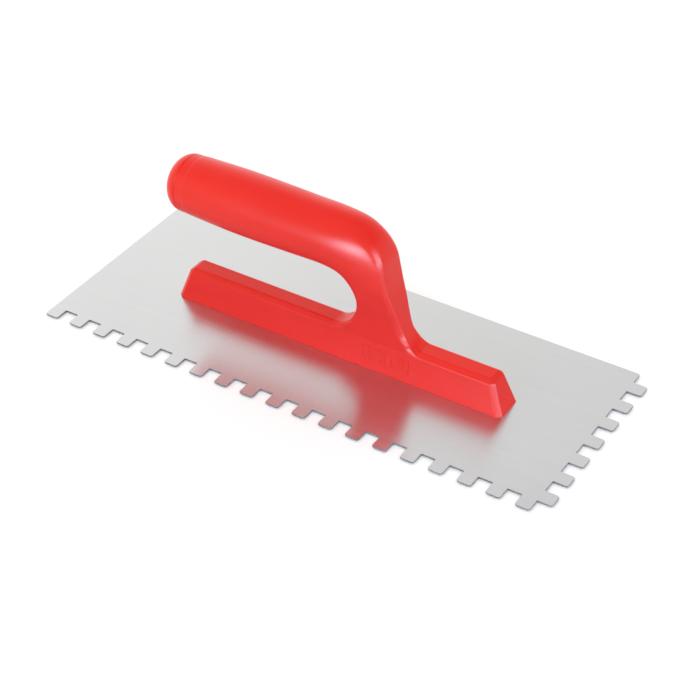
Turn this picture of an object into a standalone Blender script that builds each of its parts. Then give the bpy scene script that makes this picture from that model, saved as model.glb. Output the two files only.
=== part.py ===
# Notched trowel: a toothed stainless sheet held under a one-piece moulded handle.
# Frame: origin at the centre of the sheet's working face, +X towards the toothed short edge,
# -Y towards the toothed long edge, +Z up through the handle. Units are metres.

import math

import bmesh
import bpy
from mathutils import Matrix, Vector

MM = 0.001

# Blade
BLADE_LENGTH = 304 * MM
BLADE_WIDTH = 120 * MM
BLADE_THICKNESS = 0.7 * MM
NOTCH = 8 * MM                      # notch width, notch depth and tooth width are all equal
TOOTH_TIP_RADIUS = 1.3 * MM
PLAIN_CORNER_RADIUS = 1.5 * MM
CORNER_STEPS = 3
FIT_GAP = 0.3 * MM                  # clearance left between neighbouring pieces
CUT_MARGIN = 1.0 * MM               # how far a cutter reaches past the face it opens

# Base bar of the handle: a low bar with sloping flanks and ends
BASE_LENGTH_LOW = 200.6 * MM
BASE_LENGTH_TOP = 187.0 * MM
BASE_WIDTH_LOW = 19.0 * MM
BASE_WIDTH_TOP = 12.9 * MM          # width of the flanks carried up to the top, before the edges are broken
BASE_TOP = 19.7 * MM
BASE_UNDERSIDE = BLADE_THICKNESS + FIT_GAP
EDGE_BREAK = 2.2 * MM
EDGE_STEPS = 3

# Grip and end cap
GRIP_AXIS = 71.1 * MM
CAP_JOINT = -92.6 * MM              # plane where the cap meets the open end of the grip
GRIP_END_RADIUS = 15.4 * MM
BORE_RADIUS = 13.2 * MM
BORE_END = -12 * MM
BORE_TAPER = 1.5 * MM                # the bore is this much narrower near its closed end
BORE_END_CHAMFER = 6 * MM
BORE_CLEARANCE = 2 * MM              # room behind the cap's spigot before the bore narrows
CAP_LENGTH = 10.1 * MM
CAP_FLAT_RADIUS = 2.2 * MM
CAP_SPIGOT_LENGTH = 12 * MM
CAP_WALL = 2.0 * MM
CAP_END_WALL = 1.0 * MM
SPIGOT_LEAD = 1.0 * MM               # the spigot's end is tapered to start it in the bore
DOME_STEPS = 8
SEAM_CHAMFER = 0.3 * MM

# Stiffening strip and its screws
STRIP_LENGTH = 184 * MM
STRIP_WIDTH = 11 * MM
STRIP_THICKNESS = 1.6 * MM
STRIP_CORNER = 2.5 * MM
STRIP_CORNER_STEPS = 4
SCREW_COUNT = 6
SCREW_PITCH = 35.2 * MM
SCREW_HEAD_RADIUS = 3.2 * MM
SCREW_SHANK_RADIUS = 1.5 * MM
SCREW_RECESS = 0.1 * MM             # the head sits this far inside the working face
SCREW_TIP = 13.5 * MM
SCREW_POINT_LENGTH = 2 * MM
SCREW_POINT_RADIUS = 0.6 * MM
RECESS_LENGTH = 3.4 * MM
RECESS_WIDTH = 0.7 * MM
RECESS_DEPTH = 1.0 * MM
HOLE_STEPS = 20                     # sides of a screw and its hole
ROUND_STEPS = 36                    # sides of the cap and the grip's bore

# Cored pockets under the base bar
FLANK_WALL = 2.6 * MM
TOP_WALL = 3.2 * MM
BOSS_LENGTH = 9 * MM
POCKET_DRAFT = 2 * MM                # a pocket is this much shorter at its top
NECK_CORE_NARROWING = 0.8            # width of the neck's core beside that of the other pockets
NECK_CORE_TOP = 36 * MM
NECK_CORE_SHIFT = -11 * MM          # the neck leans back over the bar, and its core follows it

# Handle sections from the grip's open end, over the bend and down the neck into the bar.
# inner x, z, half width | outer x, z, half width | how square the section is, 0 round to 1
# chamfered. Inner is the side of the finger gap. All lengths in millimetres.
SECTIONS = [
    (-92.6, 55.7, 15.4, -92.6, 86.5, 15.4, 0.0),
    (-92.2, 55.4, 15.7, -92.2, 86.8, 15.7, 0.0),
    (-84.0, 54.95, 16.1, -84.0, 87.15, 16.1, 0.0),
    (-62.0, 53.95, 16.8, -62.0, 87.55, 16.8, 0.0),
    (-42.0, 53.75, 16.8, -42.0, 87.35, 16.8, 0.0),
    (-22.0, 54.0, 16.4, -20.0, 86.8, 16.4, 0.0),
    (-6.0, 54.1, 16.0, 0.0, 86.4, 16.0, 0.0),
    (3.0, 52.4, 15.0, 13.9, 84.4, 15.2, 0.08),
    (8.0, 48.8, 13.2, 23.6, 78.6, 14.2, 0.22),
    (11.4, 44.6, 11.5, 29.6, 70.0, 13.0, 0.42),
    (13.0, 40.8, 9.8, 31.7, 60.0, 12.0, 0.65),
    (13.4, 37.5, 8.5, 33.5, 51.0, 10.3, 0.9),
    (12.9, 33.5, 7.6, 36.0, 43.0, 8.9, 1.0),
    (11.2, 28.5, 6.9, 38.4, 35.0, 7.6, 1.0),
    (8.0, 24.0, 6.8, 41.0, 27.0, 6.9, 1.0),
    (3.5, 21.0, 6.8, 44.8, 21.8, 6.9, 1.0),
    (-2.0, 19.6, 6.7, 50.5, 19.6, 6.7, 1.0),
    (-3.0, 17.4, 6.4, 51.5, 17.4, 6.4, 1.0),
]
FOOT_Z = 13 * MM                    # the neck's foot is buried this deep in the bar
FOOT_HALF_WIDTH = 5.5 * MM
SECTION_CHAMFER = 2.1 * MM
STEPS_PER_SECTION = 3
QUADRANT_STEPS = (3, 2, 3)          # segments on half an end face, on a chamfer, on half a side

RED = (0.78, 0.022, 0.018)
STEEL = (0.62, 0.62, 0.61)
DARK_STEEL = (0.42, 0.43, 0.44)


def make_collection(name):
    collection = bpy.data.collections.new(name)
    bpy.context.scene.collection.children.link(collection)
    return collection


def make_material(name, colour, roughness, metallic):
    material = bpy.data.materials.new(name)
    material.use_nodes = True
    shader = material.node_tree.nodes["Principled BSDF"]
    shader.inputs["Base Color"].default_value = (*colour, 1.0)
    shader.inputs["Roughness"].default_value = roughness
    shader.inputs["Metallic"].default_value = metallic
    material.diffuse_color = (*colour, 1.0)
    return material


def add_part(name, mesh, collection, material):
    part = bpy.data.objects.new(name, mesh)
    collection.objects.link(part)
    if material.name not in mesh.materials:
        mesh.materials.append(material)
    return part


def add_cutter(name, mesh, collection):
    cutter = bpy.data.objects.new(name, mesh)
    collection.objects.link(cutter)
    cutter.hide_render = True
    cutter.display_type = "WIRE"
    return cutter


def mesh_from(build, name):
    mesh = bpy.data.meshes.new(name)
    build.normal_update()
    build.to_mesh(mesh)
    build.free()
    return mesh


def add_boolean(piece, cutter, operation="DIFFERENCE"):
    boolean = piece.modifiers.new(cutter.name, "BOOLEAN")
    boolean.operation = operation
    boolean.solver = "EXACT"
    boolean.object = cutter


def shade_round(mesh, angle=35):
    mesh.shade_smooth()
    mesh.set_sharp_from_angle(angle=math.radians(angle))


def frustum(low_size, top_size, low_z, top_z, centre_x=0.0, top_shift=0.0):
    # A block whose top face may be smaller than its bottom, and shifted along X.
    build = bmesh.new()
    bmesh.ops.create_cube(build, size=1.0)
    for vert in build.verts:
        is_top = vert.co.z > 0
        length, width = top_size if is_top else low_size
        vert.co.x = vert.co.x * length + centre_x + (top_shift if is_top else 0.0)
        vert.co.y *= width
        vert.co.z = top_z if is_top else low_z
    return build


def turned_mesh(name, profile):
    # The profile (radius, height) runs down the outer side and is closed on the axis.
    mesh = bpy.data.meshes.new(name)
    build = bmesh.new()
    verts = [build.verts.new((radius, 0.0, height)) for radius, height in profile]
    for first, second in zip(verts, verts[1:]):
        build.edges.new((first, second))
    build.to_mesh(mesh)
    build.free()
    return mesh


def add_screw(piece, steps):
    screw = piece.modifiers.new("turn", "SCREW")
    screw.axis = "Z"
    screw.steps = steps
    screw.render_steps = steps
    screw.use_merge_vertices = True
    screw.merge_threshold = 0.00001
    screw.use_smooth_shade = True


def arc(centre, radius, start, end, steps):
    # Points along an arc, the angles in degrees.
    points = []
    for step in range(steps + 1):
        angle = math.radians(start + (end - start) * step / steps)
        points.append((centre[0] + radius * math.cos(angle), centre[1] + radius * math.sin(angle)))
    return points


def blade_outline():
    # Anticlockwise from the plain left corner: teeth along the near edge and the right edge.
    half_length = BLADE_LENGTH / 2
    half_width = BLADE_WIDTH / 2
    tip = TOOTH_TIP_RADIUS
    points = []
    near_teeth = int(BLADE_LENGTH / (2 * NOTCH))
    for tooth in range(near_teeth):
        left = -half_length + tooth * 2 * NOTCH
        right = left + NOTCH
        if tooth > 0:
            points.append((left, -half_width + NOTCH))
        points += arc((left + tip, -half_width + tip), tip, 180, 270, CORNER_STEPS)
        points += arc((right - tip, -half_width + tip), tip, 270, 360, CORNER_STEPS)
        points.append((right, -half_width + NOTCH))
    side_teeth = int((BLADE_WIDTH - NOTCH) / (2 * NOTCH))
    for tooth in range(side_teeth):
        low = -half_width + NOTCH + tooth * 2 * NOTCH
        high = low + NOTCH
        if tooth > 0:
            points.append((half_length - NOTCH, low))
        points += arc((half_length - tip, low + tip), tip, 270, 360, CORNER_STEPS)
        points += arc((half_length - tip, high - tip), tip, 0, 90, CORNER_STEPS)
        points.append((half_length - NOTCH, high))
    corner = PLAIN_CORNER_RADIUS
    points += arc((half_length - NOTCH - corner, half_width - corner), corner, 0, 90, CORNER_STEPS)
    points += arc((-half_length + corner, half_width - corner), corner, 90, 180, CORNER_STEPS)
    return points


def countersink_radius(z):
    # Radius of the screw hole at this height: a right-angled cone, then a clearance hole.
    wide = SCREW_HEAD_RADIUS + SCREW_RECESS + FIT_GAP * math.sqrt(2)
    return max(wide - z, SCREW_SHANK_RADIUS + FIT_GAP)


def add_outline(curve, outline):
    spline = curve.splines.new("POLY")
    spline.points.add(len(outline) - 1)
    for point, (x, y) in zip(spline.points, outline):
        point.co = (x, y, 0.0, 1.0)
    spline.use_cyclic_u = True


def make_blade(collection, material):
    curve = bpy.data.curves.new("blade_outline", "CURVE")
    curve.dimensions = "2D"
    curve.fill_mode = "BOTH"
    curve.extrude = BLADE_THICKNESS / 2
    add_outline(curve, blade_outline())
    step = 360 / HOLE_STEPS
    for x in screw_positions():
        add_outline(curve, arc((x, 0.0), countersink_radius(0.0), 0, 360 - step, HOLE_STEPS - 1))
    flat = bpy.data.objects.new("blade_flat", curve)
    flat.location.z = BLADE_THICKNESS / 2
    collection.objects.link(flat)
    bpy.context.view_layer.update()
    evaluated = flat.evaluated_get(bpy.context.evaluated_depsgraph_get())
    mesh = bpy.data.meshes.new_from_object(evaluated)
    build = bmesh.new()
    build.from_mesh(mesh)
    bmesh.ops.remove_doubles(build, verts=build.verts, dist=0.00001)
    narrow = countersink_radius(BLADE_THICKNESS) / countersink_radius(0.0)
    for x in screw_positions():
        upper_rim = [vert for vert in build.verts
                     if vert.co.z > 0 and math.hypot(vert.co.x - x, vert.co.y) < NOTCH]
        bmesh.ops.scale(build, vec=(narrow, narrow, 1.0), space=Matrix.Translation((-x, 0.0, 0.0)),
                        verts=upper_rim)
    build.to_mesh(mesh)
    build.free()
    blade = bpy.data.objects.new("blade", mesh)
    blade.matrix_world = flat.matrix_world
    blade.data.materials.clear()
    blade.data.materials.append(material)
    collection.objects.link(blade)
    bpy.data.objects.remove(flat)


def catmull(before, start, end, after, t):
    return 0.5 * (
        2 * start
        + (end - before) * t
        + (2 * before - 5 * start + 4 * end - after) * t * t
        + (3 * start - before - 3 * end + after) * t * t * t
    )


def smooth_sections():
    # A spline through the listed sections, which stays sharp at the grip's chamfered end.
    rows = [list(row) for row in SECTIONS]
    smooth = [rows[0]]
    for index in range(1, len(rows) - 1):
        before = rows[max(index - 1, 1)]
        start = rows[index]
        end = rows[index + 1]
        after = rows[min(index + 2, len(rows) - 1)]
        for step in range(STEPS_PER_SECTION):
            t = step / STEPS_PER_SECTION
            smooth.append([catmull(*values, t) for values in zip(before, start, end, after)])
    smooth.append(rows[-1])
    return smooth


def quadrant():
    # Pairs of round and chamfered unit positions from the end face's middle to the side's middle.
    end_steps, chamfer_steps, side_steps = QUADRANT_STEPS
    total = sum(QUADRANT_STEPS)
    pairs = []
    for step in range(total):
        angle = math.pi / 2 * step / total
        if step < end_steps:
            chamfered = ("end", step / end_steps)
        elif step < end_steps + chamfer_steps:
            chamfered = ("chamfer", (step - end_steps) / chamfer_steps)
        else:
            chamfered = ("side", (step - end_steps - chamfer_steps) / side_steps)
        pairs.append((math.cos(angle), math.sin(angle), chamfered))
    return pairs


def chamfered_position(kind, share, depth, width):
    # Distance from the section's middle along its depth and its width, in metres.
    chamfer = min(SECTION_CHAMFER, width * 0.5)
    if kind == "end":
        return depth, share * (width - chamfer)
    if kind == "chamfer":
        return depth - share * chamfer, width - chamfer + share * chamfer
    return (1 - share) * (depth - chamfer), width


def section_ring(row):
    inner = Vector((row[0], 0.0, row[1])) * MM
    outer = Vector((row[3], 0.0, row[4])) * MM
    inner_width = row[2] * MM
    outer_width = row[5] * MM
    square = min(max(row[6], 0.0), 1.0)
    middle = (inner + outer) / 2
    along = (outer - inner) / 2
    depth = along.length
    along.normalize()
    ring = []
    for quarter, (depth_sign, width_sign) in enumerate(((1, 1), (-1, 1), (-1, -1), (1, -1))):
        points = quadrant()
        if quarter % 2 == 1:
            points = [(0.0, 1.0, ("side_middle", 0.0))] + points[:0:-1]
        for cosine, sine, (kind, share) in points:
            share_along = cosine * depth_sign
            width = inner_width + (outer_width - inner_width) * (share_along + 1) / 2
            if kind == "side_middle":
                flat_depth, flat_width = 0.0, width
            else:
                flat_depth, flat_width = chamfered_position(kind, share, depth, width)
            reach = (1 - square) * cosine * depth + square * flat_depth
            side = (1 - square) * sine * width + square * flat_width
            ring.append(middle + along * (reach * depth_sign) + Vector((0.0, side * width_sign, 0.0)))
    return ring


def foot_ring(ring):
    # The last section carried straight down inside the bar.
    widest = max(abs(point.y) for point in ring)
    share = FOOT_HALF_WIDTH / widest
    return [Vector((point.x, point.y * share, FOOT_Z)) for point in ring]


def neck_and_grip():
    rings = [section_ring(row) for row in smooth_sections()]
    rings.append(foot_ring(rings[-1]))
    build = bmesh.new()
    vert_rings = [[build.verts.new(point) for point in ring] for ring in rings]
    for first, second in zip(vert_rings, vert_rings[1:]):
        for index in range(len(first)):
            after = (index + 1) % len(first)
            build.faces.new((first[index], first[after], second[after], second[index]))
    build.faces.new(vert_rings[0][::-1])
    build.faces.new(vert_rings[-1])
    bmesh.ops.recalc_face_normals(build, faces=build.faces)
    return build


def base_bar():
    build = frustum(
        (BASE_LENGTH_LOW, BASE_WIDTH_LOW),
        (BASE_LENGTH_TOP, BASE_WIDTH_TOP),
        BASE_UNDERSIDE,
        BASE_TOP,
    )
    upper = [edge for edge in build.edges if max(vert.co.z for vert in edge.verts) > BASE_UNDERSIDE + MM]
    bmesh.ops.bevel(
        build,
        geom=upper,
        offset=EDGE_BREAK,
        offset_type="OFFSET",
        segments=EDGE_STEPS,
        profile=0.5,
        affect="EDGES",
        material=-1,
    )
    return build


def screw_positions():
    first = -SCREW_PITCH * (SCREW_COUNT - 1) / 2
    return [first + SCREW_PITCH * index for index in range(SCREW_COUNT)]


def flank_half_width(z):
    share = (z - BASE_UNDERSIDE) / (BASE_TOP - BASE_UNDERSIDE)
    return (BASE_WIDTH_LOW + (BASE_WIDTH_TOP - BASE_WIDTH_LOW) * share) / 2


def make_pocket_cutters(collection):
    # One cored pocket between each pair of screw bosses; the one under the neck runs up into it.
    low_z = BASE_UNDERSIDE + STRIP_THICKNESS
    top_z = BASE_TOP - TOP_WALL
    length = SCREW_PITCH - BOSS_LENGTH
    low_width = 2 * (flank_half_width(low_z) - FLANK_WALL)
    top_width = 2 * (flank_half_width(top_z) - FLANK_WALL)
    cutters = []
    for index, left in enumerate(screw_positions()[:-1]):
        centre = left + SCREW_PITCH / 2
        name = f"pocket_cutter_{index + 1}"
        if left < SCREW_PITCH < left + SCREW_PITCH:
            build = frustum(
                (length, low_width), (length / 2, top_width * NECK_CORE_NARROWING),
                low_z, NECK_CORE_TOP, centre, NECK_CORE_SHIFT,
            )
        else:
            build = frustum((length, low_width), (length - POCKET_DRAFT, top_width), low_z, top_z, centre)
        cutters.append(add_cutter(name, mesh_from(build, name), collection))
    return cutters


def make_channel_cutter(collection):
    size = (STRIP_LENGTH + 2 * FIT_GAP, STRIP_WIDTH + 2 * FIT_GAP)
    top = BASE_UNDERSIDE + STRIP_THICKNESS + FIT_GAP
    build = frustum(size, size, -CUT_MARGIN, top)
    return add_cutter("channel_cutter", mesh_from(build, "channel_cutter"), collection)


def make_bore_cutter(collection):
    # The grip is hollow behind the cap, narrowing slightly towards the bend.
    depth = BORE_END - CAP_JOINT
    profile = [
        (0.0, CUT_MARGIN),
        (BORE_RADIUS, CUT_MARGIN),
        (BORE_RADIUS, -CAP_SPIGOT_LENGTH - BORE_CLEARANCE),
        (BORE_RADIUS - BORE_TAPER, -depth + BORE_END_CHAMFER),
        (BORE_RADIUS - BORE_END_CHAMFER, -depth),
        (0.0, -depth),
    ]
    cutter = add_cutter("bore_cutter", turned_mesh("bore_cutter", profile), collection)
    add_screw(cutter, ROUND_STEPS)
    lay_along_grip(cutter)
    return cutter


def lay_along_grip(piece):
    # A turned piece's own +Z becomes -X, out of the grip's open end.
    piece.rotation_euler = (0.0, -math.pi / 2, 0.0)
    piece.location = (CAP_JOINT, 0.0, GRIP_AXIS)


def make_hole_cutters(collection):
    # Countersink through the sheet and the strip, then clearance for the shank in the boss.
    wide = countersink_radius(0.0)
    shank = SCREW_SHANK_RADIUS + FIT_GAP
    profile = [
        (0.0, SCREW_TIP + FIT_GAP),
        (shank, SCREW_TIP + FIT_GAP),
        (shank, wide - shank),
        (wide, 0.0),
        (wide, -CUT_MARGIN),
        (0.0, -CUT_MARGIN),
    ]
    mesh = turned_mesh("screw_hole", profile)
    cutters = []
    for index, x in enumerate(screw_positions()):
        cutter = add_cutter(f"screw_hole_cutter_{index + 1}", mesh, collection)
        add_screw(cutter, HOLE_STEPS)
        cutter.location.x = x
        cutters.append(cutter)
    return cutters


def make_handle(collection, cutters, material, holes):
    handle = add_part("handle_body", mesh_from(base_bar(), "handle_body"), collection, material)
    neck = add_cutter("neck_and_grip", mesh_from(neck_and_grip(), "neck_and_grip"), cutters)
    add_boolean(handle, neck, "UNION")
    add_boolean(handle, make_bore_cutter(cutters))
    add_boolean(handle, make_channel_cutter(cutters))
    for pocket in make_pocket_cutters(cutters):
        add_boolean(handle, pocket)
    for hole in holes:
        add_boolean(handle, hole)
    return handle


def make_cap(collection, material):
    # A domed plug: its hollow spigot presses into the bore and its rim closes the grip.
    rim = GRIP_END_RADIUS + SEAM_CHAMFER
    spigot = BORE_RADIUS - FIT_GAP
    dome_start = FIT_GAP + SEAM_CHAMFER
    profile = [(0.0, CAP_LENGTH)]
    for radius, height in arc((0.0, 0.0), 1.0, 90, 0, DOME_STEPS):
        profile.append((
            CAP_FLAT_RADIUS + (rim - CAP_FLAT_RADIUS) * radius,
            dome_start + (CAP_LENGTH - dome_start) * height,
        ))
    profile += [
        (rim - SEAM_CHAMFER, FIT_GAP),
        (spigot, FIT_GAP),
        (spigot, -CAP_SPIGOT_LENGTH + SPIGOT_LEAD),
        (spigot - SPIGOT_LEAD / 2, -CAP_SPIGOT_LENGTH),
        (spigot - CAP_WALL, -CAP_SPIGOT_LENGTH),
        (spigot - CAP_WALL, FIT_GAP + CAP_END_WALL),
        (0.0, FIT_GAP + CAP_END_WALL),
    ]
    cap = add_part("grip_end_cap", turned_mesh("grip_end_cap", profile), collection, material)
    add_screw(cap, ROUND_STEPS)
    lay_along_grip(cap)


def make_strip(collection, material):
    size = (STRIP_LENGTH, STRIP_WIDTH)
    build = frustum(size, size, BASE_UNDERSIDE, BASE_UNDERSIDE + STRIP_THICKNESS)
    uprights = [edge for edge in build.edges if abs(edge.verts[0].co.z - edge.verts[1].co.z) > MM]
    bmesh.ops.bevel(
        build,
        geom=uprights,
        offset=STRIP_CORNER,
        offset_type="OFFSET",
        segments=STRIP_CORNER_STEPS,
        profile=0.5,
        affect="EDGES",
        material=-1,
    )
    return add_part("stiffening_strip", mesh_from(build, "stiffening_strip"), collection, material)


def make_screws(collection, cutters, material):
    low = SCREW_RECESS
    cone_top = low + SCREW_HEAD_RADIUS - SCREW_SHANK_RADIUS
    profile = [
        (0.0, SCREW_TIP),
        (SCREW_POINT_RADIUS, SCREW_TIP),
        (SCREW_SHANK_RADIUS, SCREW_TIP - SCREW_POINT_LENGTH),
        (SCREW_SHANK_RADIUS, cone_top),
        (SCREW_HEAD_RADIUS, low),
        (0.0, low),
    ]
    mesh = turned_mesh("screw", profile)
    drive = bmesh.new()
    for turn in (0.0, math.pi / 2):
        made = bmesh.ops.create_cube(drive, size=1.0)["verts"]
        bmesh.ops.scale(drive, vec=(RECESS_LENGTH, RECESS_WIDTH, 2 * RECESS_DEPTH), verts=made)
        bmesh.ops.rotate(drive, matrix=Matrix.Rotation(turn, 3, "Z"), verts=made)
    drive_mesh = mesh_from(drive, "screw_drive")
    for index, x in enumerate(screw_positions()):
        cutter = add_cutter(f"screw_drive_cutter_{index + 1}", drive_mesh, cutters)
        cutter.location = (x, 0.0, low)
        screw = add_part(f"blade_screw_{index + 1}", mesh, collection, material)
        screw.location.x = x
        add_screw(screw, HOLE_STEPS)
        add_boolean(screw, cutter)
        screw.modifiers[-1].use_self = True


def build_trowel():
    for old in list(bpy.data.objects):
        bpy.data.objects.remove(old)
    parts = make_collection("notched_trowel")
    cutters = make_collection("cutters")
    red = make_material("red_plastic", RED, 0.3, 0.0)
    steel = make_material("stainless_sheet", STEEL, 0.32, 1.0)
    dark_steel = make_material("plated_steel", DARK_STEEL, 0.4, 1.0)

    holes = make_hole_cutters(cutters)
    make_blade(parts, steel)
    strip = make_strip(parts, dark_steel)
    for hole in holes:
        add_boolean(strip, hole)
    handle = make_handle(parts, cutters, red, holes)
    shade_round(handle.data)
    make_cap(parts, red)
    make_screws(parts, cutters, dark_steel)


build_trowel()
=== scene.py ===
import math
import bmesh
import bpy
from mathutils import Matrix, Vector


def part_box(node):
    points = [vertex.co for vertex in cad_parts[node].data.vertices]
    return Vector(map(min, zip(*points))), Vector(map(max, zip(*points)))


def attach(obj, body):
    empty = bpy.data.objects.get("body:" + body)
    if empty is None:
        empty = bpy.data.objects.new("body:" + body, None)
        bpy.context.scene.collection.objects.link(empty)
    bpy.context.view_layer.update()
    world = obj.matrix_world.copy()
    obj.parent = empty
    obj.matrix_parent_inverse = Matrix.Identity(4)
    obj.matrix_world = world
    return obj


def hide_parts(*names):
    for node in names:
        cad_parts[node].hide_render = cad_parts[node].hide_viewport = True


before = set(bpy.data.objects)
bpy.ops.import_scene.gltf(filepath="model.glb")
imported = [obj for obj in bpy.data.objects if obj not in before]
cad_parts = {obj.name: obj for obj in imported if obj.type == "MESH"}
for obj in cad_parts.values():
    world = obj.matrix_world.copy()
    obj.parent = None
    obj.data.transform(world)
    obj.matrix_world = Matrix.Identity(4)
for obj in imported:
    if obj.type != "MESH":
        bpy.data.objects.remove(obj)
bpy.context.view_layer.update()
mm = 0.001
scene = bpy.context.scene


# the camera comes first

cameraSet = {
    "azimuth": 33.383,
    "elevation": 37.998,
    "roll": -1.139,
    "distance": 0.98192,
    "target": (0.0012, 0.0059, -0.0058),
    "lens": 95.215,
    "sensor": 36,
    "clip": (0.01, 30),
}


def makeCamera(s):
    azimuth, elevation, roll = (math.radians(s[key]) for key in ("azimuth", "elevation", "roll"))
    back = Vector((math.sin(azimuth) * math.cos(elevation), -math.cos(azimuth) * math.cos(elevation),
                   math.sin(elevation)))
    right = Vector((math.cos(azimuth), math.sin(azimuth), 0))
    up = back.cross(right)
    across = right * math.cos(roll) + up * math.sin(roll)
    upright = up * math.cos(roll) - right * math.sin(roll)
    camera = bpy.data.objects.new("camera", bpy.data.cameras.new("camera"))
    camera.data.lens = s["lens"]
    camera.data.sensor_width = s["sensor"]
    camera.data.clip_start, camera.data.clip_end = s["clip"]
    turn = Matrix((across, upright, back)).transposed().to_4x4()
    camera.matrix_world = Matrix.Translation(Vector(s["target"]) + back * s["distance"]) @ turn
    scene.collection.objects.link(camera)
    scene.camera = camera
    print("camera ready")


makeCamera(cameraSet)


# helpers for meshes

weldGap = 0.01 * mm  # corners closer than this are one
planeGap = 0.1 * mm  # a corner this close to a plane lies in it
cornerAngle = 1.0  # radians, past which two faces meet in a corner


def makeObject(build, name, angle=30):
    # turns a finished bmesh into a smooth-shaded object with sharp edges past the angle, in degrees
    mesh = bpy.data.meshes.new(name)
    build.normal_update()
    build.to_mesh(mesh)
    build.free()
    made = bpy.data.objects.new(name, mesh)
    scene.collection.objects.link(made)
    mesh.shade_smooth()
    mesh.set_sharp_from_angle(angle=math.radians(angle))
    return made


def finishPiece(piece, node, materials):
    piece.data.materials.clear()
    for material in materials:
        piece.data.materials.append(material)
    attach(piece, "root")
    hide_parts(node)
    print(piece.name, len(piece.data.polygons), "faces")


def bakeModifiers(piece):
    # keeps the evaluated mesh and drops the modifiers that made it
    bpy.context.view_layer.update()
    evaluated = piece.evaluated_get(bpy.context.evaluated_depsgraph_get())
    mesh = bpy.data.meshes.new_from_object(evaluated)
    piece.modifiers.clear()
    piece.data = mesh


def applyBooleans(piece, tools, operation="DIFFERENCE", crossing=False):
    # crossing is for tools whose own parts cut through each other
    for tool in tools:
        boolean = piece.modifiers.new(tool.name, "BOOLEAN")
        boolean.solver = "EXACT"
        boolean.operation = operation
        boolean.use_self = crossing
        boolean.object = tool
    bakeModifiers(piece)
    for tool in tools:
        bpy.data.objects.remove(tool)


def isCorner(edge):
    return edge.calc_face_angle(0) > cornerAngle


def isUpright(edge, length):
    return abs(edge.verts[0].co.z - edge.verts[1].co.z) > length


def bevelEdges(build, edges, offset, segments):
    bmesh.ops.bevel(build, geom=edges, offset=offset, offset_type="OFFSET", segments=segments, profile=0.5,
                    affect="EDGES", material=-1, clamp_overlap=True)


def makeBlock(low, high, topScale=(1, 1), topShift=0.0):
    # a box between two corners whose top may be smaller and moved along X
    build = bmesh.new()
    centre = (Vector(low) + Vector(high)) / 2
    size = Vector(high) - Vector(low)
    bmesh.ops.create_cube(build, size=1.0, matrix=Matrix.Translation(centre) @ Matrix.Diagonal((*size, 1)))
    top = [vert for vert in build.verts if vert.co.z > centre.z]
    bmesh.ops.scale(build, vec=(*topScale, 1), space=Matrix.Translation(-centre), verts=top)
    bmesh.ops.translate(build, vec=(topShift, 0, 0), verts=top)
    return build


def makeGrid(columns, rows, length, width):
    # a flat sheet of squares about the origin
    build = bmesh.new()
    bmesh.ops.create_grid(build, x_segments=columns, y_segments=rows, size=0.5,
                          matrix=Matrix.Diagonal((length, width, 1, 1)))
    return build


def thickenSheet(build, thickness, low):
    # the sheet's underside comes to lie at the low height
    bmesh.ops.solidify(build, geom=build.faces, thickness=-thickness)
    bmesh.ops.recalc_face_normals(build, faces=build.faces)
    lowest = min(vert.co.z for vert in build.verts)
    bmesh.ops.translate(build, vec=(0, 0, low - lowest), verts=build.verts)


def turnProfile(profile, steps):
    # spins (radius, height) points in millimetres about the Z axis into a closed solid
    build = bmesh.new()
    verts = [build.verts.new((radius * mm, 0, height * mm)) for radius, height in profile]
    edges = [build.edges.new(pair) for pair in zip(verts, verts[1:])]
    bmesh.ops.spin(build, geom=verts + edges, cent=(0, 0, 0), axis=(0, 0, 1), angle=2 * math.pi,
                   steps=steps, use_merge=True)
    bmesh.ops.remove_doubles(build, verts=build.verts, dist=weldGap)
    bmesh.ops.recalc_face_normals(build, faces=build.faces)
    return build


def arcPoints(centre, radii, start, end, steps):
    # points along an oval arc, from one angle to another in degrees
    angles = [math.radians(start + (end - start) * step / steps) for step in range(steps + 1)]
    return [(centre[0] + radii[0] * math.cos(angle), centre[1] + radii[1] * math.sin(angle))
            for angle in angles]


# helpers for materials

def newMaterial(name, colour, roughness, metallic=0.0):
    material = bpy.data.materials.new(name)
    material.use_nodes = True
    shader = material.node_tree.nodes["Principled BSDF"]
    shader.inputs["Base Color"].default_value = (*colour, 1)
    shader.inputs["Roughness"].default_value = roughness
    shader.inputs["Metallic"].default_value = metallic
    material.diffuse_color = (*colour, 1)
    return material, shader


def addNode(tree, kind, **values):
    # a value goes to the node's socket of that name, or else to its setting
    node = tree.nodes.new(kind)
    for key, value in values.items():
        if key in node.inputs:
            node.inputs[key].default_value = value
        else:
            setattr(node, key, value)
    return node


def objectCoords(tree, scale=(1, 1, 1)):
    coords = addNode(tree, "ShaderNodeTexCoord")
    mapping = addNode(tree, "ShaderNodeMapping", Scale=scale)
    tree.links.new(coords.outputs["Object"], mapping.inputs["Vector"])
    return mapping.outputs["Vector"]


def addNoise(tree, vector, scale, detail, roughness=0.5):
    noise = addNode(tree, "ShaderNodeTexNoise", Scale=scale, Detail=detail, Roughness=roughness)
    tree.links.new(vector, noise.inputs["Vector"])
    return noise.outputs["Fac"]


def addRange(tree, value, fromRange, toRange):
    node = addNode(tree, "ShaderNodeMapRange")
    for index, limit in enumerate((*fromRange, *toRange)):
        node.inputs[index + 1].default_value = limit
    tree.links.new(value, node.inputs[0])
    return node.outputs[0]


def addSum(tree, first, second, share):
    # share of the first value and the rest of the second
    node = addNode(tree, "ShaderNodeMix", data_type="FLOAT")
    node.inputs[0].default_value = share
    tree.links.new(second, node.inputs[2])
    tree.links.new(first, node.inputs[3])
    return node.outputs[0]


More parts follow.
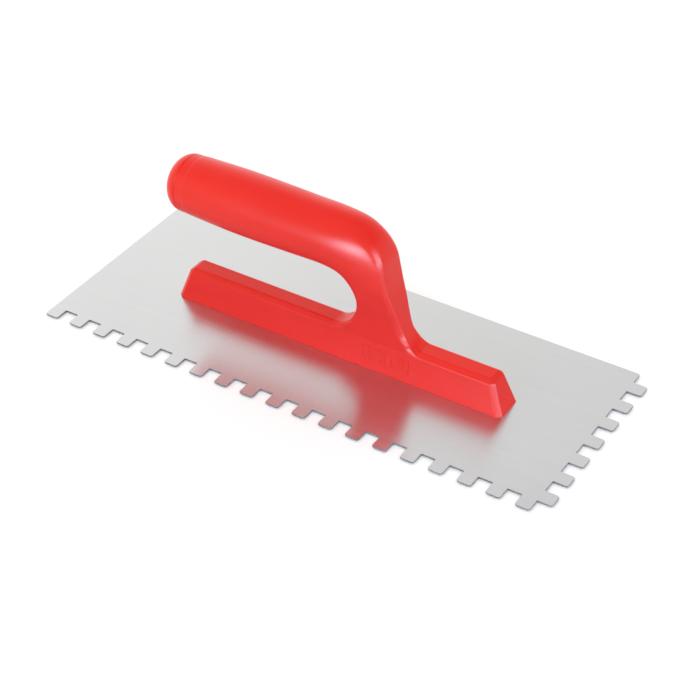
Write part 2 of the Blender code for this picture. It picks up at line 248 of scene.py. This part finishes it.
def addColours(tree, factor, first, second):
    ramp = addNode(tree, "ShaderNodeValToRGB")
    for element, colour in zip(ramp.color_ramp.elements, (first, second)):
        element.color = (*colour, 1)
    tree.links.new(factor, ramp.inputs["Fac"])
    return ramp.outputs["Color"]


def addBump(tree, shader, height, strength, distance, before=None):
    # one more bump, on top of the one before it
    bump = addNode(tree, "ShaderNodeBump", Strength=strength, Distance=distance)
    tree.links.new(height, bump.inputs["Height"])
    if before is not None:
        tree.links.new(before, bump.inputs["Normal"])
    tree.links.new(bump.outputs["Normal"], shader.inputs["Normal"])
    return bump.outputs["Normal"]


# red moulded plastic of the handle and the cap

plasticSet = {
    "colour": (0.69, 0.0060, 0.0035),
    "paler": (0.74, 0.0105, 0.0065),
    "sheen": (0.85, 1.0, 0.80),
    "sheenLevel": 0.34,
    "ior": 1.5,
    "roughness": (0.29, 0.35),
    "noiseSpan": (0.35, 0.65),
    "flowStretch": (0.35, 1, 1),
    "flowScale": 38,
    "smudgeScale": 95,
    "grainScale": 900,
    "grainDepth": 0.006 * mm,
    "waveDepth": 0.12 * mm,
    "bumpStrength": 0.5,
}


def makePlastic(name, s):
    material, shader = newMaterial(name, s["colour"], sum(s["roughness"]) / 2)
    shader.inputs["IOR"].default_value = s["ior"]
    shader.inputs["Specular IOR Level"].default_value = s["sheenLevel"]
    shader.inputs["Specular Tint"].default_value = (*s["sheen"], 1)
    tree = material.node_tree
    plain = objectCoords(tree)
    along = objectCoords(tree, s["flowStretch"])
    flow = addNoise(tree, along, s["flowScale"], detail=3.0)  # faint flow marks from the mould
    shade = addRange(tree, flow, s["noiseSpan"], (0, 1))
    tree.links.new(addColours(tree, shade, s["colour"], s["paler"]), shader.inputs["Base Color"])
    smudge = addNoise(tree, plain, s["smudgeScale"], detail=5.0, roughness=0.6)  # marks of handling
    tree.links.new(addRange(tree, smudge, s["noiseSpan"], s["roughness"]), shader.inputs["Roughness"])
    wave = addNoise(tree, along, s["flowScale"], detail=1.0)  # slight sinks in a thick moulding
    first = addBump(tree, shader, wave, s["bumpStrength"], s["waveDepth"])
    grain = addNoise(tree, plain, s["grainScale"], detail=2.0)
    addBump(tree, shader, grain, s["bumpStrength"], s["grainDepth"], first)
    return material


# rolled stainless of the sheet, with a sheared edge whose dark grey is partly a cut edge's own dullness
# and partly painted shade

steelSet = {
    "colour": (0.700, 0.695, 0.690),
    "darker": (0.655, 0.652, 0.650),
    "roughness": (0.225, 0.268),
    "anisotropy": 0.75,
    "grain": (16, 700, 700),
    "cloudScale": 11,
    "grainDepth": 0.004 * mm,
}
# the sheared edge's dark grey: partly the dull cut itself, partly painted shade for the shadow along the
# sheet's edges
shearedAndShadedSet = {
    "colour": (0.19, 0.19, 0.19),
    "darker": (0.13, 0.13, 0.135),
    "roughness": (0.46, 0.60),
    "anisotropy": 0.0,
    "grain": (900, 900, 90),
    "cloudScale": 60,
    "grainDepth": 0.02 * mm,
}
platedSet = {
    "colour": (0.52, 0.52, 0.53),
    "darker": (0.40, 0.40, 0.42),
    "roughness": (0.285, 0.40),
    "anisotropy": 0.0,
    "grain": (300, 300, 300),
    "cloudScale": 140,
    "grainDepth": 0.006 * mm,
}
metalSpan = (0.36, 0.64)  # where most of the noise in a metal lies
metalBump = 0.3
streakShare = 0.4  # the rest of the noise is clouds
quarterTurn = 0.25


def makeMetal(name, s, uvMap=None):
    # the sheet's streaks of light follow its UV map, as they follow the rolling
    material, shader = newMaterial(name, s["colour"], sum(s["roughness"]) / 2, 1.0)
    shader.inputs["Anisotropic"].default_value = s["anisotropy"]
    tree = material.node_tree
    if uvMap:
        shader.inputs["Anisotropic Rotation"].default_value = quarterTurn
        tangent = addNode(tree, "ShaderNodeTangent", direction_type="UV_MAP", uv_map=uvMap)
        tree.links.new(tangent.outputs["Tangent"], shader.inputs["Tangent"])
    streak = addNoise(tree, objectCoords(tree, s["grain"]), 1.0, detail=4.0, roughness=0.6)
    cloud = addNoise(tree, objectCoords(tree), s["cloudScale"], detail=4.0, roughness=0.55)
    tone = addSum(tree, streak, cloud, streakShare)
    shade = addRange(tree, tone, metalSpan, (0, 1))
    tree.links.new(addColours(tree, shade, s["darker"], s["colour"]), shader.inputs["Base Color"])
    tree.links.new(addRange(tree, tone, metalSpan, s["roughness"]), shader.inputs["Roughness"])
    addBump(tree, shader, streak, metalBump, s["grainDepth"])
    return material


redPlastic = makePlastic("redMoulding", plasticSet)
sheetSteel = makeMetal("rolledStainless", steelSet, "sheet")
# the sheared edge is dark partly because a cut edge is dull, and partly with painted shade
shearedAndShadedSteel = makeMetal("shearedEdgeAndShade", shearedAndShadedSet)
platedSteel = makeMetal("platedSteel", platedSet)
print("materials ready")


# the screws: their places, and the holes that they need

screwNodes = sorted(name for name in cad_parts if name.startswith("blade_screw"))
# in millimetres, as every turned profile is
screwSet = {
    "headRadius": 3.2,
    "headRim": 0.15,
    "shankRadius": 1.5,
    "rootRadius": 1.15,
    "threadPitch": 0.9,
    "neckLength": 0.3,
    "pointLength": 2.0,
    "pointRadius": 0.25,
    "pointRound": 0.1,
    "steps": 32,
    "recessLength": 3.4,
    "recessWidth": 0.7,
    "recessDepth": 1.0,
    "recessTaper": (0.45, 0.7, 1),
    "holeWide": 3.56,
    "holeNarrow": 1.8,
    "holeTop": 13.8,
    "holeBelow": 1,
}


def screwPlace(node):
    # every screw stands upright in the middle of the bar, so its X is enough
    low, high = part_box(node)
    return (low.x + high.x) / 2


def makeHoleTools(s):
    # a right-angled countersink from the working face, then a straight hole
    wide, narrow, below = s["holeWide"], s["holeNarrow"], s["holeBelow"]
    profile = [(0, s["holeTop"]), (narrow, s["holeTop"]), (narrow, wide - narrow), (wide + below, -below)]
    profile += [(0, -below)]
    tools = []
    for node in screwNodes:
        build = turnProfile(profile, s["steps"])
        bmesh.ops.translate(build, vec=(screwPlace(node), 0, 0), verts=build.verts)
        tools.append(makeObject(build, "holeTool"))
    return tools


def makeDriveTool(s, place, low):
    # a cross whose four arms taper inwards
    build = bmesh.new()
    size = (s["recessLength"] * mm, s["recessWidth"] * mm, 2 * s["recessDepth"] * mm)
    for turn in (0, math.pi / 2):
        made = bmesh.ops.create_cube(build, size=1.0)["verts"]
        bmesh.ops.scale(build, vec=size, verts=made)
        tips = [vert for vert in made if vert.co.z > 0]
        bmesh.ops.scale(build, vec=s["recessTaper"], verts=tips)
        bmesh.ops.rotate(build, matrix=Matrix.Rotation(turn, 3, "Z"), verts=made)
    bmesh.ops.translate(build, vec=(place, 0, low), verts=build.verts)
    return makeObject(build, "driveTool")


def makeScrew(s, node):
    low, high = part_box(node)
    bottom, tip = low.z / mm, high.z / mm
    neck = bottom + s["headRadius"] - s["shankRadius"]
    profile = [(0, tip), (s["pointRadius"], tip - s["pointRound"])]
    height = tip - s["pointLength"]
    while height > neck + s["threadPitch"]:
        profile += [(s["shankRadius"], height), (s["rootRadius"], height - s["threadPitch"] / 2)]
        height -= s["threadPitch"]
    profile += [(s["shankRadius"], neck + s["neckLength"]), (s["shankRadius"], neck)]
    profile += [(s["headRadius"], bottom + s["headRim"]), (s["headRadius"] - s["headRim"], bottom)]
    profile += [(0, bottom)]
    build = turnProfile(profile, s["steps"])
    bmesh.ops.translate(build, vec=(screwPlace(node), 0, 0), verts=build.verts)
    screw = makeObject(build, node.replace("blade_screw_", "screw"))
    applyBooleans(screw, [makeDriveTool(s, screwPlace(node), low.z)], crossing=True)
    finishPiece(screw, node, [platedSteel])


for screwNode in screwNodes:
    makeScrew(screwSet, screwNode)


# the toothed sheet

bladeSet = {
    "notch": 8 * mm,
    "tipRadius": 1.3 * mm,
    "tipSegments": 5,
    "rootRadius": 0.4 * mm,
    "rootSegments": 2,
    "rim": 0.06 * mm,
    "flatLimit": 0.8,
}


def makeNotchedGrid(s, low, size):
    # a flat grid of notch-sized squares without every second one on the near and the right edge
    columns, rows = round(size.x / s["notch"]), round(size.y / s["notch"])
    build = makeGrid(columns, rows, size.x, size.y)
    notches = []
    for face in build.faces:
        centre = face.calc_center_median()
        column, row = int((centre.x - low.x) / s["notch"]), int((centre.y - low.y) / s["notch"])
        nearNotch = row == 0 and column % 2 == 1
        endNotch = column == columns - 1 and row % 2 == 0
        if nearNotch or endNotch:
            notches.append(face)
    bmesh.ops.delete(build, geom=notches, context="FACES")
    return build


def layOutSheet(mesh):
    # a UV map that is the sheet seen from above, in metres
    build = bmesh.new()
    build.from_mesh(mesh)
    flat = build.loops.layers.uv.new("sheet")
    for face in build.faces:
        for loop in face.loops:
            loop[flat].uv = loop.vert.co.xy
    build.to_mesh(mesh)
    build.free()


def makeBlade(s):
    low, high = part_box("blade")
    size = high - low
    build = makeNotchedGrid(s, low, size)
    thickenSheet(build, size.z, low.z)
    corners = [edge for edge in build.edges if isUpright(edge, size.z / 2) and isCorner(edge)]
    tips = [edge for edge in corners if edge.is_convex]
    roots = [edge for edge in corners if not edge.is_convex]
    bevelEdges(build, tips, s["tipRadius"], s["tipSegments"])
    bevelEdges(build, [edge for edge in roots if edge.is_valid], s["rootRadius"], s["rootSegments"])
    rims = [edge for edge in build.edges if not isUpright(edge, size.z / 2) and isCorner(edge)]
    bevelEdges(build, rims, s["rim"], 1)
    blade = makeObject(build, "notchedSheet")
    applyBooleans(blade, makeHoleTools(screwSet))
    layOutSheet(blade.data)
    finishPiece(blade, "blade", [sheetSteel, shearedAndShadedSteel])
    for face in blade.data.polygons:  # the rolled faces lie flat, and the sheared edges, darkened partly with painted shade, don't
        face.material_index = 1 if abs(face.normal.z) < s["flatLimit"] else 0


makeBlade(bladeSet)


# the strip under the bar that the screws draw the sheet against

stripSet = {
    "cornerRadius": 2.5 * mm,
    "cornerSegments": 8,
    "edge": 0.2 * mm,
    "edgeSegments": 2,
}


def makeStrip(s):
    low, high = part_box("stiffening_strip")
    build = makeBlock(low, high)
    corners = [edge for edge in build.edges if isUpright(edge, mm)]
    bevelEdges(build, corners, s["cornerRadius"], s["cornerSegments"])
    rims = [edge for edge in build.edges if isCorner(edge)]
    bevelEdges(build, rims, s["edge"], s["edgeSegments"])
    strip = makeObject(build, "stiffener")
    applyBooleans(strip, makeHoleTools(screwSet))
    finishPiece(strip, "stiffening_strip", [platedSteel])


makeStrip(stripSet)


# the domed plug in the grip's open end

capSet = {
    "joint": -92.6,
    "seamGap": 0.05,
    "seamChamfer": 0.15,
    "rimRadius": 15.7,
    "flatRadius": 2.2,
    "length": 10.1,
    "domeSteps": 24,
    "spigotRadius": 12.9,
    "spigotLength": 12.0,
    "spigotFillet": 0.2,
    "leadLength": 1.0,
    "leadDepth": 0.5,
    "wall": 2.0,
    "innerCorner": 1.0,
    "innerDrop": 0.6,
    "innerDish": 0.3,
    "steps": 96,
    "sharpAngle": 35,
}


def makeCap(s):
    low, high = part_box("grip_end_cap")
    rim, flat, gap = s["rimRadius"], s["flatRadius"], s["seamGap"]
    spigot, end = s["spigotRadius"], -s["spigotLength"]
    start, bore = gap + s["seamChamfer"], spigot - s["wall"]
    profile = [(0, s["length"])]
    profile += arcPoints((flat, start), (rim - flat, s["length"] - start), 90, 0, s["domeSteps"])
    profile += [(rim - s["seamChamfer"], gap), (spigot + s["spigotFillet"], gap)]
    profile += [(spigot, gap - s["spigotFillet"]), (spigot, end + s["leadLength"])]
    profile += [(spigot - s["leadDepth"], end), (bore, end)]
    profile += [(bore, -s["innerDrop"]), (bore - s["innerCorner"], gap), (0, gap + s["innerDish"])]
    build = turnProfile(profile, s["steps"])
    axis = Vector((s["joint"] * mm, 0, (low.z + high.z) / 2))
    bmesh.ops.transform(build, matrix=Matrix.Translation(axis) @ Matrix.Rotation(-math.pi / 2, 4, "Y"),
                        verts=build.verts)
    cap = makeObject(build, "endCap", s["sharpAngle"])
    finishPiece(cap, "grip_end_cap", [redPlastic])


makeCap(capSet)


# the handle moulding: bar, neck and grip grown from one skin

handleSet = {
    "lowWidth": 19.0 * mm,
    "topWidth": 12.9 * mm,
    "topLength": 187.0 * mm,
    "top": 19.7 * mm,
    "edgeBreak": 2.2 * mm,
    "lidDepth": 1.2,  # in edge breaks, down from the top
    "footInner": -2.0 * mm,
    "footOuter": 50.5 * mm,
    "footRun": 6.0 * mm,
    "chamfer": 2.1 * mm,
    "faceSteps": 6,
    "chamferSteps": 3,
    "sideSteps": 18,
    "ringSteps": 7,
    "chamferFade": 1.6,
    "softEdge": 0.5 * mm,
    "softSegments": 3,
    "softFrom": 8,  # degrees between the faces of an edge that starts to be softened
    "softSpan": 16,  # degrees more until it is softened fully
    "lowRimShare": 0.3,
    "sharpAngle": 40,
    "underGap": 0.04 * mm,
}
# inner x, z, half width, then outer x, z, half width, then 0 for a round section to 1 for a chamfered one,
# in millimetres: inner is the side of the finger gap, and the rows run from the neck's foot to the grip's
# end, where three close rows are a shallow groove
neckSections = [
    (3.5, 21.0, 6.8, 44.8, 21.8, 6.9, 1.0),
    (8.0, 24.0, 6.8, 41.0, 27.0, 6.9, 1.0),
    (11.2, 28.5, 6.9, 38.4, 35.0, 7.6, 1.0),
    (12.9, 33.5, 7.6, 36.0, 43.0, 8.9, 1.0),
    (13.4, 37.5, 8.5, 33.5, 51.0, 10.3, 0.9),
    (13.0, 40.8, 9.8, 31.7, 60.0, 12.0, 0.65),
    (11.4, 44.6, 11.5, 29.6, 70.0, 13.0, 0.42),
    (8.0, 48.8, 13.2, 23.6, 78.6, 14.2, 0.22),
    (3.0, 52.4, 15.0, 13.9, 84.4, 15.2, 0.08),
    (-6.0, 54.1, 16.0, 0.0, 86.4, 16.0, 0.0),
    (-22.0, 54.0, 16.4, -20.0, 86.8, 16.4, 0.0),
    (-42.0, 53.75, 16.8, -42.0, 87.35, 16.8, 0.0),
    (-62.0, 53.95, 16.8, -62.0, 87.55, 16.8, 0.0),
    (-84.0, 54.95, 16.1, -84.0, 87.15, 16.1, 0.0),
    (-87.4, 55.13, 15.93, -87.4, 86.98, 15.93, 0.0),
    (-88.3, 55.27, 15.79, -88.3, 86.84, 15.79, 0.0),
    (-89.2, 55.22, 15.83, -89.2, 86.89, 15.83, 0.0),
    (-92.4, 55.4, 15.7, -92.4, 86.8, 15.7, 0.0),
]
# x and radius of the hollow behind the cap, from its mouth inwards
boreSteps = [(-92.6, 15.5), (-92.6, 13.4), (-92.4, 13.2), (-78.6, 13.2), (-18, 11.7), (-12, 7.2)]


def ringCount(s):
    return 2 * (s["faceSteps"] + s["sideSteps"]) + 4 * s["chamferSteps"]


def ringStep(index, s):
    # a ring point's quarter of the section, and its steps from the middle of the section's nearer end
    total = ringCount(s) // 4
    quarter, step = divmod(index, total)
    return quarter, step if quarter % 2 == 0 else total - step


def isChamferLine(index, s):
    # whether a ring point lies on one of a chamfer's two edges
    face = s["faceSteps"] // 2
    return ringStep(index, s)[1] in (face, face + s["chamferSteps"])


def ringPlace(index, s, depth, half):
    # a ring point's place on the chamfered outline: along the section and across it
    face, chamfer, side = s["faceSteps"] // 2, s["chamferSteps"], s["sideSteps"] // 2
    quarter, step = ringStep(index, s)
    if step <= face:
        reach, width = depth, (half - s["chamfer"]) * step / face
    elif step <= face + chamfer:
        share = (step - face) / chamfer
        reach, width = depth - s["chamfer"] * share, half - s["chamfer"] * (1 - share)
    else:
        reach, width = (depth - s["chamfer"]) * (1 - (step - face - chamfer) / side), half
    return Vector((reach if quarter in (0, 3) else -reach, width if quarter in (0, 1) else -width))


def sectionRing(row, s):
    # a section's points, between an oval and the chamfered outline
    inner, outer = Vector((row[0], 0, row[1])) * mm, Vector((row[3], 0, row[4])) * mm
    middle, along = (inner + outer) / 2, (outer - inner) / 2
    depth = along.length
    along.normalize()
    ring = []
    for index in range(ringCount(s)):
        angle = 2 * math.pi * index / ringCount(s)
        half = (row[2] + (row[5] - row[2]) * (math.cos(angle) + 1) / 2) * mm
        oval = Vector((math.cos(angle) * depth, math.sin(angle) * half))
        place = oval.lerp(ringPlace(index, s, depth, half), row[6])
        ring.append(middle + along * place.x + Vector((0, place.y, 0)))
    return ring


def splinePoint(before, start, end, after, t):
    # a point between start and end on a smooth curve through all four
    return 0.5 * (2 * start + (end - before) * t + (2 * before - 5 * start + 4 * end - after) * t * t
                  + (3 * start - before - 3 * end + after) * t ** 3)


def barUnderside(s):
    # the hair's breadth of a gap keeps the bar and the sheet apart
    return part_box("blade")[1].z + s["underGap"]


def makeBar(s):
    # a tapered block with its upper edges broken, cut across where the neck's foot starts and ends
    low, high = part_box("handle_body")
    length = high.x - low.x
    topScale = (s["topLength"] / length, s["topWidth"] / s["lowWidth"])
    half = s["lowWidth"] / 2
    build = makeBlock((low.x, -half, barUnderside(s)), (high.x, half, s["top"]), topScale)
    upper = [edge for edge in build.edges if max(vert.co.z for vert in edge.verts) > s["top"] / 2]
    bevelEdges(build, upper, s["edgeBreak"], 1)
    for x in (s["footInner"], s["footOuter"]):
        bmesh.ops.bisect_plane(build, geom=build.verts[:] + build.edges[:] + build.faces[:],
                               dist=weldGap / 100, plane_co=(x, 0, 0), plane_no=(1, 0, 0))
    return build


def isAcross(vert, s):
    # whether a corner lies on one of the foot's two cuts across the bar
    return min(abs(vert.co.x - s["footInner"]), abs(vert.co.x - s["footOuter"])) < weldGap


def openFoot(build, s):
    # takes away the bar's top under the neck and divides the opening's rim as the sections are divided
    lid = [face for face in build.faces
           if min(vert.co.z for vert in face.verts) > s["top"] - s["lidDepth"] * s["edgeBreak"]
           and s["footInner"] < face.calc_center_median().x < s["footOuter"]]
    bmesh.ops.delete(build, geom=lid, context="FACES")
    rim = [edge for edge in build.edges if edge.is_boundary]
    # creases run along the bar, lids across its flat top, and slopes down its broken edges
    crease = [edge for edge in rim if not (isAcross(edge.verts[0], s) and isAcross(edge.verts[1], s)
                                           and abs(edge.verts[0].co.x - edge.verts[1].co.x) < mm)]
    lids = [edge for edge in rim if min(vert.co.z for vert in edge.verts) > s["top"] - planeGap]
    slopes = [edge for edge in rim if edge not in crease and edge not in lids]
    for edges, steps in ((lids, s["faceSteps"]), (slopes, s["chamferSteps"]), (crease, s["sideSteps"])):
        bmesh.ops.subdivide_edges(build, edges=edges, cuts=steps - 1)
    return orderRim(build)


def orderRim(build):
    # the opening's corners in the order of a section's points, from the middle of its outer end
    verts = [vert for vert in build.verts if vert.is_boundary]
    current = max(verts, key=lambda vert: (vert.co.x, -abs(vert.co.y)))
    ring, previous = [current], None
    while len(ring) < len(verts):
        beside = [edge.other_vert(current) for edge in current.link_edges if edge.is_boundary]
        beside = [vert for vert in beside if vert is not previous]
        following = max(beside, key=lambda vert: vert.co.y) if previous is None else beside[0]
        previous, current = current, following
        ring.append(current)
    return ring


def extrudeRing(build, ring, places):
    # one more row of faces, from a ring of corners to the given places
    edges = [build.edges.get(pair) for pair in zip(ring, ring[1:] + ring[:1])]
    made = bmesh.ops.extrude_edge_only(build, edges=edges)["geom"]
    fresh = {item for item in made if isinstance(item, bmesh.types.BMVert)}
    following = []
    for vert, place in zip(ring, places):
        rise = next(edge for edge in vert.link_edges if edge.other_vert(vert) in fresh)
        above = rise.other_vert(vert)
        above.co = place
        following.append(above)
    return following


def growNeck(build, rim, weight, s):
    # carries the opening's rim through every section, ring by ring
    rings = [[vert.co.copy() for vert in rim]] + [sectionRing(row, s) for row in neckSections]
    squareness = [1.0] + [row[6] for row in neckSections]
    before = []
    # the curves start off along the bar at the foot's two ends, and straight on at its sides
    for vert, above in zip(rim, rings[1]):
        run = s["footRun"] if vert.co.x > above.x else -s["footRun"]
        before.append(vert.co + Vector((run, 0, 0)) if isAcross(vert, s) else 2 * vert.co - above)
    controls = [before] + rings + [[2 * end - near for end, near in zip(rings[-1], rings[-2])]]
    ring = rim
    for span in range(1, len(controls) - 2):
        for step in range(1, s["ringSteps"] + 1):
            t = step / s["ringSteps"]
            places = [splinePoint(*points, t) for points in zip(*controls[span - 1:span + 3])]
            square = squareness[span - 1] + (squareness[span] - squareness[span - 1]) * t
            following = extrudeRing(build, ring, places)
            for index, pair in enumerate(zip(ring, following)):
                if isChamferLine(index, s):  # its softening fades out as the section turns round
                    fade = 1 - (1 - square) * s["chamferFade"]
                    build.edges.get(pair)[weight] = max(0.0, fade)
            ring = following
    return ring


def hollowGrip(build, ring, s):
    # turns the skin in at the grip's open end, down its hollow, and closes it
    low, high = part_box("grip_end_cap")
    centre = (low.z + high.z) / 2
    for x, radius in boreSteps:
        places = []
        for index in range(len(ring)):
            angle = 2 * math.pi * index / len(ring)
            places.append(Vector((x * mm, radius * mm * math.sin(angle),
                                  centre + radius * mm * math.cos(angle))))
        ring = extrudeRing(build, ring, places)
    bmesh.ops.contextual_create(build, geom=ring)


def weighBarEdges(build, weight, s):
    # every long edge of the bar is softened by how sharp it is, its lower rim a little less
    for edge in build.edges:
        highest = max(vert.co.z for vert in edge.verts)
        sharpness = min(1.0, (math.degrees(edge.calc_face_angle(0)) - s["softFrom"]) / s["softSpan"])
        if edge[weight] > 0 or sharpness <= 0 or highest > s["top"] + planeGap:
            continue
        edge[weight] = sharpness * (s["lowRimShare"] if highest < s["edgeBreak"] else 1.0)


# in millimetres: the hollows that the mould's cores leave in the bar
pocketSet = {
    "bossLength": 9.0,
    "draft": 2.0,
    "lowWidth": 13.28,
    "topWidth": 8.74,
    "low": 2.6,
    "top": 16.5,
    "neckAt": 30.0,
    "neckTop": 36.0,
    "neckShift": -11.0,
    "neckTaper": (0.5, 0.8),
    "corner": 1.0,
    "cornerSegments": 3,
    "channelGap": 0.3,
}


def makePocketTools(s):
    # one cored pocket between each pair of screw bosses; the one under the neck runs up into it
    tools = []
    for left, right in zip(screwNodes, screwNodes[1:]):
        start = screwPlace(left) / mm + s["bossLength"] / 2
        end = screwPlace(right) / mm - s["bossLength"] / 2
        width, taper = s["lowWidth"] * mm / 2, s["topWidth"] / s["lowWidth"]
        low = (start * mm, -width, s["low"] * mm)
        if start < s["neckAt"] < end:
            topScale = (s["neckTaper"][0], taper * s["neckTaper"][1])
            build = makeBlock(low, (end * mm, width, s["neckTop"] * mm), topScale, s["neckShift"] * mm)
        else:
            topScale = (1 - s["draft"] / (end - start), taper)
            build = makeBlock(low, (end * mm, width, s["top"] * mm), topScale)
        corners = [edge for edge in build.edges if isUpright(edge, mm)]
        bevelEdges(build, corners, s["corner"] * mm, s["cornerSegments"])
        tools.append(makeObject(build, "pocketTool"))
    return tools


def makeChannelTool(s):
    # the strip's own box with some play round it, open downwards
    low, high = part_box("stiffening_strip")
    gap = s["channelGap"] * mm
    around = Vector((gap, gap, 0))
    build = makeBlock(low - around - Vector((0, 0, mm)), high + around + Vector((0, 0, gap)))
    return makeObject(build, "channelTool")


# a plain raised line of square notches, where the bar carries its mark

markSet = {
    "start": 17.0 * mm,
    "low": 5.6 * mm,
    "cell": 1.15 * mm,
    "columns": 25,
    "rows": 7,
    "stroke": 3,
    "height": 0.28 * mm,
    "sunk": 0.5 * mm,
    "soft": 0.1 * mm,
    "softSegments": 2,
}


def makeMark(s, bar):
    # laid out flat, given thickness, then stood against the bar's near side
    under = barUnderside(bar)
    lean = (bar["lowWidth"] - bar["topWidth"]) / 2 / (bar["top"] - under)
    length, height = s["columns"] * s["cell"], s["rows"] * s["cell"]
    build = makeGrid(s["columns"], s["rows"], length, height)
    gaps = []
    for face in build.faces:
        centre = face.calc_center_median()
        column = int(centre.x / s["cell"] + s["columns"] / 2)
        row = int(centre.y / s["cell"] + s["rows"] / 2)
        joins = row == s["rows"] - 1 if column % (2 * s["stroke"]) < s["stroke"] else row == 0
        if column % s["stroke"] and not joins:
            gaps.append(face)
    bmesh.ops.delete(build, geom=gaps, context="FACES")
    thickenSheet(build, s["height"] + s["sunk"], -s["sunk"])
    bevelEdges(build, [edge for edge in build.edges if isCorner(edge)], s["soft"], s["softSegments"])
    middle = s["low"] + height / 2
    side = lean * (middle - under) - bar["lowWidth"] / 2
    place = Vector((s["start"] + length / 2, side, middle))
    turn = Matrix.Rotation(math.pi / 2 - math.atan(lean), 4, "X")
    bmesh.ops.transform(build, matrix=Matrix.Translation(place) @ turn, verts=build.verts)
    return makeObject(build, "raisedMark")


def makeHandle(s):
    # the skin first, then its soft edges, then the hollows and the mark
    build = makeBar(s)
    rim = openFoot(build, s)
    weight = build.edges.layers.float.new("bevel_weight_edge")
    ring = growNeck(build, rim, weight, s)
    hollowGrip(build, ring, s)
    bmesh.ops.recalc_face_normals(build, faces=build.faces)
    build.normal_update()
    weighBarEdges(build, weight, s)
    handle = makeObject(build, "handleMoulding", s["sharpAngle"])
    soften = handle.modifiers.new("soften", "BEVEL")
    soften.limit_method = "WEIGHT"
    soften.width = s["softEdge"]
    soften.segments = s["softSegments"]
    soften.profile = 0.5
    soften.use_clamp_overlap = False
    bakeModifiers(handle)
    hollows = [makeChannelTool(pocketSet)] + makePocketTools(pocketSet) + makeHoleTools(screwSet)
    applyBooleans(handle, hollows)
    applyBooleans(handle, [makeMark(markSet, s)], "UNION")
    handle.data.set_sharp_from_angle(angle=math.radians(s["sharpAngle"]))
    even = handle.modifiers.new("evenShading", "WEIGHTED_NORMAL")
    even.keep_sharp = True
    bakeModifiers(handle)
    finishPiece(handle, "handle_body", [redPlastic])


makeHandle(handleSet)


# floor, surroundings and lights

stageSet = {
    "floor": 12.0,
    "floorColour": (0.95, 0.95, 0.95),
    "floorRoughness": 0.20,
    "floorGap": 0.8 * mm,
    "surround": (1, 1, 1),
    "bright": 1.33,
    "dim": 0.40,
    "dimTowards": (0.287, 0.0, 0.958),
    "dimSpread": (0.28, 0.85),
    "topLight": 1.4,
    "topSpread": 80,
    "topLean": (12, 10, 0),
}
softBoxSet = {
    "colour": (0.55, 0.68, 1.0),
    "distance": 0.8,
    # azimuth and elevation as seen from the object, width, height, power
    "boxes": {
        "leftSoftBox": (4, 12, 0.50, 0.33, 13.5),
        "rightSoftBox": (78, 15, 0.60, 0.36, 11.5),
    },
}


def makeStage(s):
    # a pale floor, and a white surround that is dimmer where the steel mirrors it
    floor = makeObject(makeGrid(1, 1, s["floor"], s["floor"]), "floor")
    floor.data.transform(Matrix.Translation((0, 0, -s["floorGap"])))
    material, shader = newMaterial("paleFloor", s["floorColour"], s["floorRoughness"])
    floor.data.materials.append(material)
    world = bpy.data.worlds.new("softStudio")
    scene.world = world
    world.use_nodes = True
    tree = world.node_tree
    coords = addNode(tree, "ShaderNodeTexCoord")
    facing = addNode(tree, "ShaderNodeVectorMath", operation="DOT_PRODUCT")
    facing.inputs[1].default_value = s["dimTowards"]
    tree.links.new(coords.outputs["Generated"], facing.inputs[0])
    level = addRange(tree, facing.outputs["Value"], s["dimSpread"], (s["bright"], s["dim"]))
    tree.links.new(level, tree.nodes["Background"].inputs["Strength"])
    tree.nodes["Background"].inputs["Color"].default_value = (*s["surround"], 1)
    scene.view_settings.view_transform = "Standard"


def addSoftBox(s, name):
    # it shows only in reflections
    azimuth, elevation, width, height, power = s["boxes"][name]
    turn, rise = math.radians(azimuth), math.radians(elevation)
    towards = Vector((math.sin(turn) * math.cos(rise), -math.cos(turn) * math.cos(rise), math.sin(rise)))
    light = bpy.data.lights.new(name, "AREA")
    light.shape = "RECTANGLE"
    light.size, light.size_y = width, height
    light.energy = power
    light.color = s["colour"]
    lamp = bpy.data.objects.new(name, light)
    lamp.visible_diffuse = False
    facing = towards.to_track_quat("Z", "Y").to_matrix().to_4x4()
    lamp.matrix_world = Matrix.Translation(towards * s["distance"]) @ facing
    scene.collection.objects.link(lamp)


def addTopLight(s):
    # an even light from above that leaves no glint of its own
    light = bpy.data.lights.new("topLight", "SUN")
    light.energy = s["topLight"]
    light.angle = math.radians(s["topSpread"])
    lamp = bpy.data.objects.new("topLight", light)
    lamp.visible_glossy = False
    lamp.rotation_euler = [math.radians(turn) for turn in s["topLean"]]
    scene.collection.objects.link(lamp)


makeStage(stageSet)
addTopLight(stageSet)
for softBox in softBoxSet["boxes"]:
    addSoftBox(softBoxSet, softBox)
print("stage ready")
